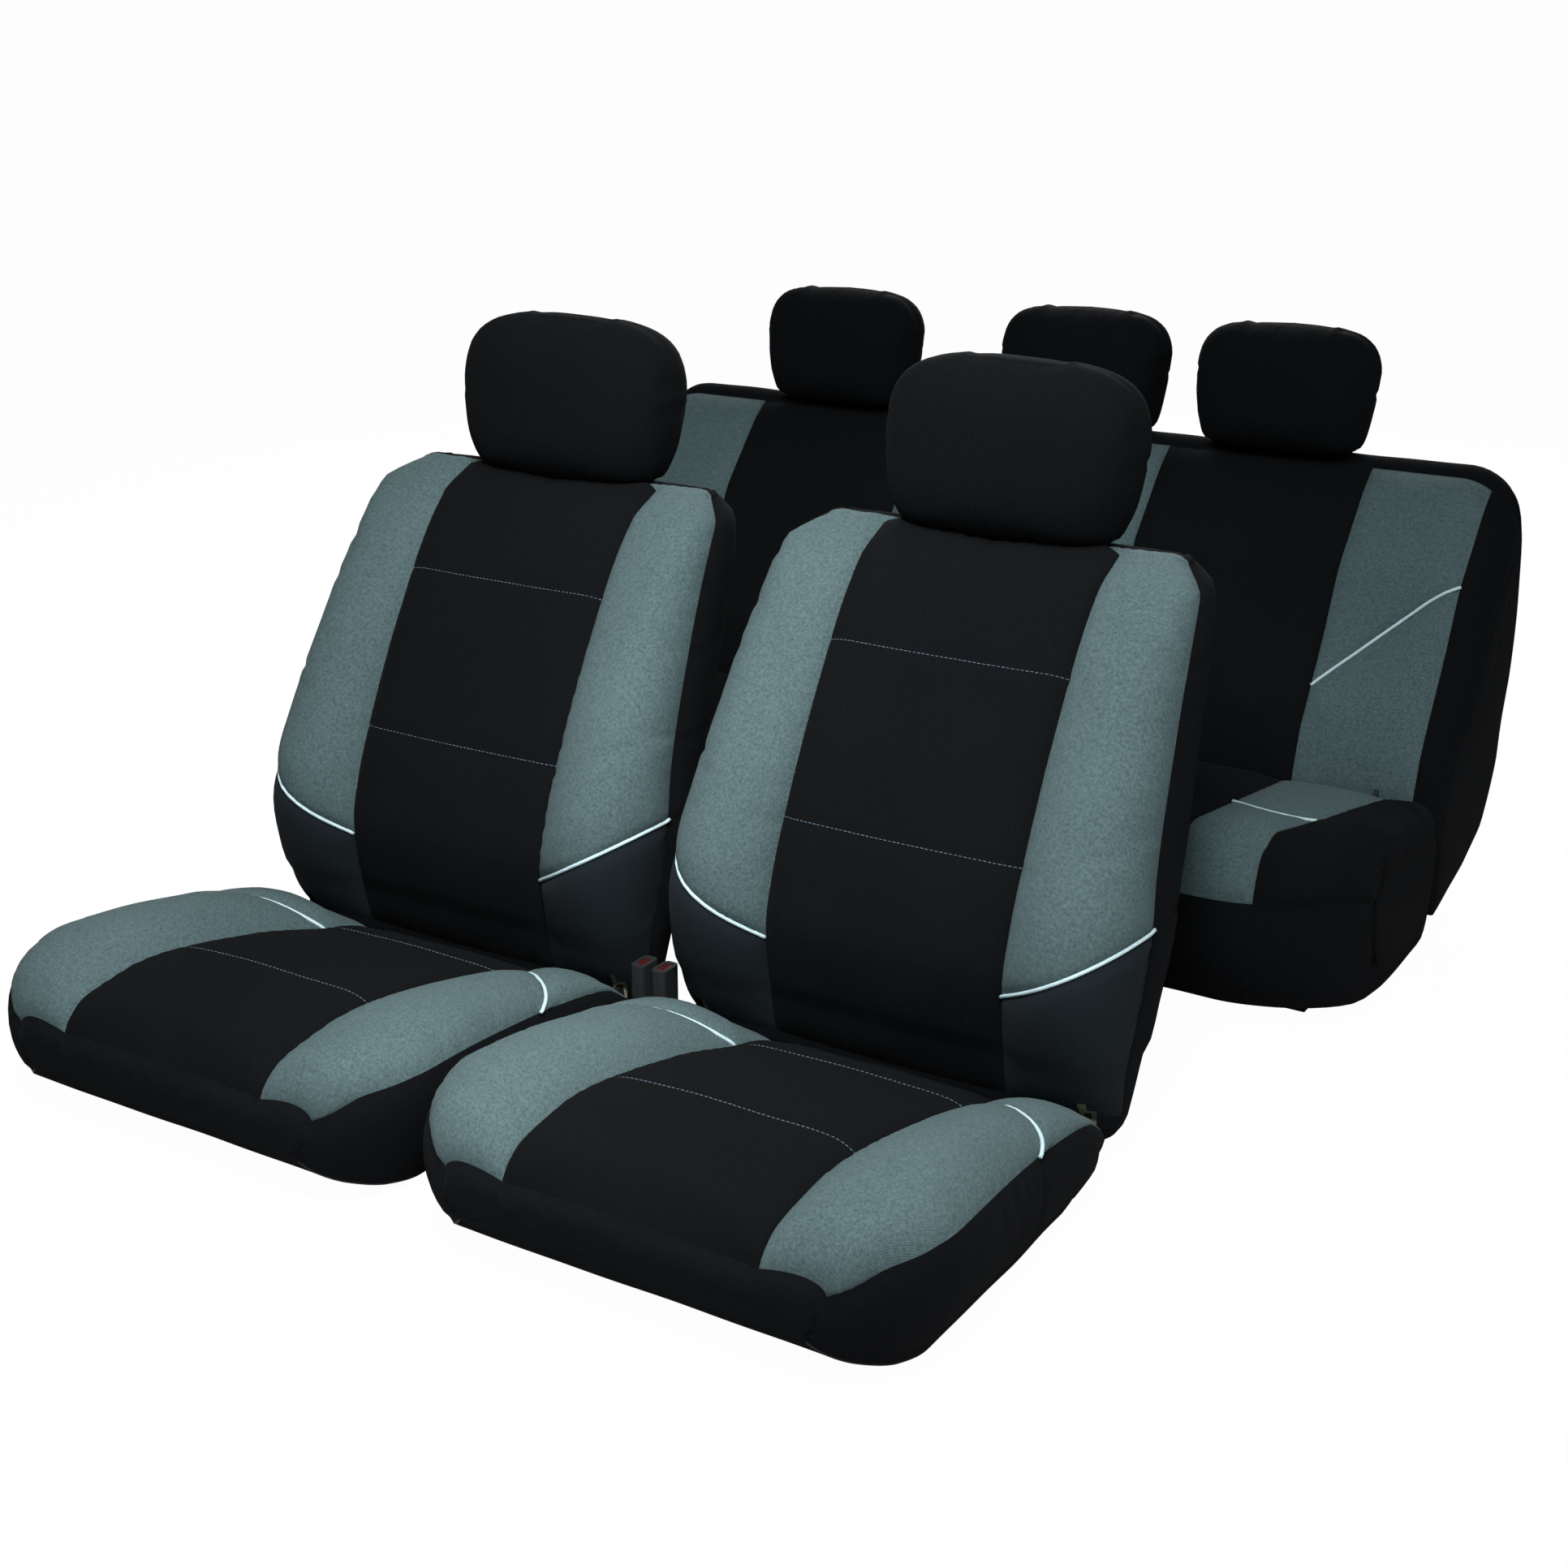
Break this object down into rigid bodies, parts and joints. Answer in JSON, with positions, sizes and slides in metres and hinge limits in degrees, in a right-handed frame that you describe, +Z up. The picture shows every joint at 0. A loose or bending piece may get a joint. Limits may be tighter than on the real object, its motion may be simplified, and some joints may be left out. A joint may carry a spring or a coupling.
{
  "type": "seat cover set",
  "caption": "Sewn car seat cover set on its seats: front bucket cushion, backrest and headrest covers, and a rear bench cover with headrest covers.",
  "frame": {"origin": "floor level, on the set's middle plane, below the middle of the whole set's depth", "axes": "+Z up, -Y the way the seats face, +X to the right of someone looking at their fronts"},
  "size_m": [1.284, 1.494, 0.769],
  "materials": {
    "black_knit": "matte",
    "grey_knit": "matte",
    "charcoal_knit": "matte",
    "piping_cord": "satin",
    "seat_foam": "matte",
    "elastic_strap": "matte",
    "frame_steel": "satin",
    "post_chrome": "polished",
    "buckle_plastic": "matte",
    "button_plastic": "satin"
  },
  "bodies": {
    "left_seat": {"left_cushion_centre_panel": "black_knit", "left_cushion_bolster_panels": "grey_knit", "left_cushion_skirt": "black_knit", "left_cushion_piping": "piping_cord", "left_cushion_foam": "seat_foam", "left_cushion_straps": "elastic_strap", "left_seat_pan": "frame_steel"},
    "left_backrest": {"left_backrest_centre_panel": "black_knit", "left_backrest_bolster_panels": "grey_knit", "left_backrest_lower_panels": "charcoal_knit", "left_backrest_piping": "piping_cord", "left_backrest_back_cover": "black_knit", "left_backrest_foam": "seat_foam", "left_backrest_frame": "frame_steel"},
    "left_headrest": {"left_headrest_cover": "black_knit", "left_headrest_foam": "seat_foam", "left_headrest_posts": "post_chrome"},
    "left_buckle": {"left_buckle": "buckle_plastic"},
    "left_button": {"left_buckle_button": "button_plastic"},
    "right_seat": {"right_cushion_centre_panel": "black_knit", "right_cushion_bolster_panels": "grey_knit", "right_cushion_skirt": "black_knit", "right_cushion_piping": "piping_cord", "right_cushion_foam": "seat_foam", "right_cushion_straps": "elastic_strap", "right_seat_pan": "frame_steel"},
    "right_backrest": {"right_backrest_centre_panel": "black_knit", "right_backrest_bolster_panels": "grey_knit", "right_backrest_lower_panels": "charcoal_knit", "right_backrest_piping": "piping_cord", "right_backrest_back_cover": "black_knit", "right_backrest_foam": "seat_foam", "right_backrest_frame": "frame_steel"},
    "right_headrest": {"right_headrest_cover": "black_knit", "right_headrest_foam": "seat_foam", "right_headrest_posts": "post_chrome"},
    "right_buckle": {"right_buckle": "buckle_plastic"},
    "right_button": {"right_buckle_button": "button_plastic"},
    "floor": {"slide_rails": "frame_steel", "rear_cushion_grey_panels": "grey_knit", "rear_cushion_black_panels": "black_knit", "rear_cushion_piping": "piping_cord", "rear_cushion_skirt": "black_knit", "rear_cushion_foam": "seat_foam", "rear_cushion_frame": "frame_steel"},
    "rear_backrest": {"rear_backrest_grey_panels": "grey_knit", "rear_backrest_black_panels": "black_knit", "rear_backrest_piping": "piping_cord", "rear_backrest_back_cover": "black_knit", "rear_backrest_foam": "seat_foam", "rear_backrest_frame": "frame_steel"},
    "rear_left_headrest": {"rear_left_headrest_cover": "black_knit", "rear_left_headrest_foam": "seat_foam", "rear_left_headrest_posts": "post_chrome"},
    "rear_middle_headrest": {"rear_middle_headrest_cover": "black_knit", "rear_middle_headrest_foam": "seat_foam", "rear_middle_headrest_posts": "post_chrome"},
    "rear_right_headrest": {"rear_right_headrest_cover": "black_knit", "rear_right_headrest_foam": "seat_foam", "rear_right_headrest_posts": "post_chrome"}
  },
  "joints": [
    {"name": "left_seat_slide", "type": "slide", "parent": "floor", "child": "left_seat", "axis": [0, 1, 0], "range_m": [-0.09, 0.05]},
    {"name": "left_recline", "type": "hinge", "parent": "left_seat", "child": "left_backrest", "pos_m": [-0.29, -0.239, 0.06], "axis": [-1, 0, 0], "range_deg": [-6, 28]},
    {"name": "left_headrest_height", "type": "slide", "parent": "left_backrest", "child": "left_headrest", "axis": [0, 0.342, 0.9397], "range_m": [0, 0.06]},
    {"name": "left_buckle_swing", "type": "hinge", "parent": "left_seat", "child": "left_buckle", "pos_m": [-0.014, -0.305, 0.046], "axis": [1, 0, 0], "range_deg": [-15, 25]},
    {"name": "left_button_press", "type": "slide", "parent": "left_buckle", "child": "left_button", "axis": [0, 0, -1], "range_m": [0, 0.003]},
    {"name": "right_seat_slide", "type": "slide", "parent": "floor", "child": "right_seat", "axis": [0, 1, 0], "range_m": [-0.09, 0.05]},
    {"name": "right_recline", "type": "hinge", "parent": "right_seat", "child": "right_backrest", "pos_m": [0.29, -0.239, 0.06], "axis": [-1, 0, 0], "range_deg": [-6, 28]},
    {"name": "right_headrest_height", "type": "slide", "parent": "right_backrest", "child": "right_headrest", "axis": [0, 0.342, 0.9397], "range_m": [0, 0.06]},
    {"name": "right_buckle_swing", "type": "hinge", "parent": "right_seat", "child": "right_buckle", "pos_m": [0.014, -0.305, 0.046], "axis": [1, 0, 0], "range_deg": [-15, 25]},
    {"name": "right_button_press", "type": "slide", "parent": "right_buckle", "child": "right_button", "axis": [0, 0, -1], "range_m": [0, 0.003]},
    {"name": "rear_backrest_fold", "type": "hinge", "parent": "floor", "child": "rear_backrest", "pos_m": [0, 0.476, 0.2], "axis": [-1, 0, 0], "range_deg": [-50, 0]},
    {"name": "rear_left_headrest_height", "type": "slide", "parent": "rear_backrest", "child": "rear_left_headrest", "axis": [0, 0, 1], "range_m": [0, 0.05]},
    {"name": "rear_middle_headrest_height", "type": "slide", "parent": "rear_backrest", "child": "rear_middle_headrest", "axis": [0, 0, 1], "range_m": [0, 0.05]},
    {"name": "rear_right_headrest_height", "type": "slide", "parent": "rear_backrest", "child": "rear_right_headrest", "axis": [0, 0, 1], "range_m": [0, 0.05]}
  ]
}
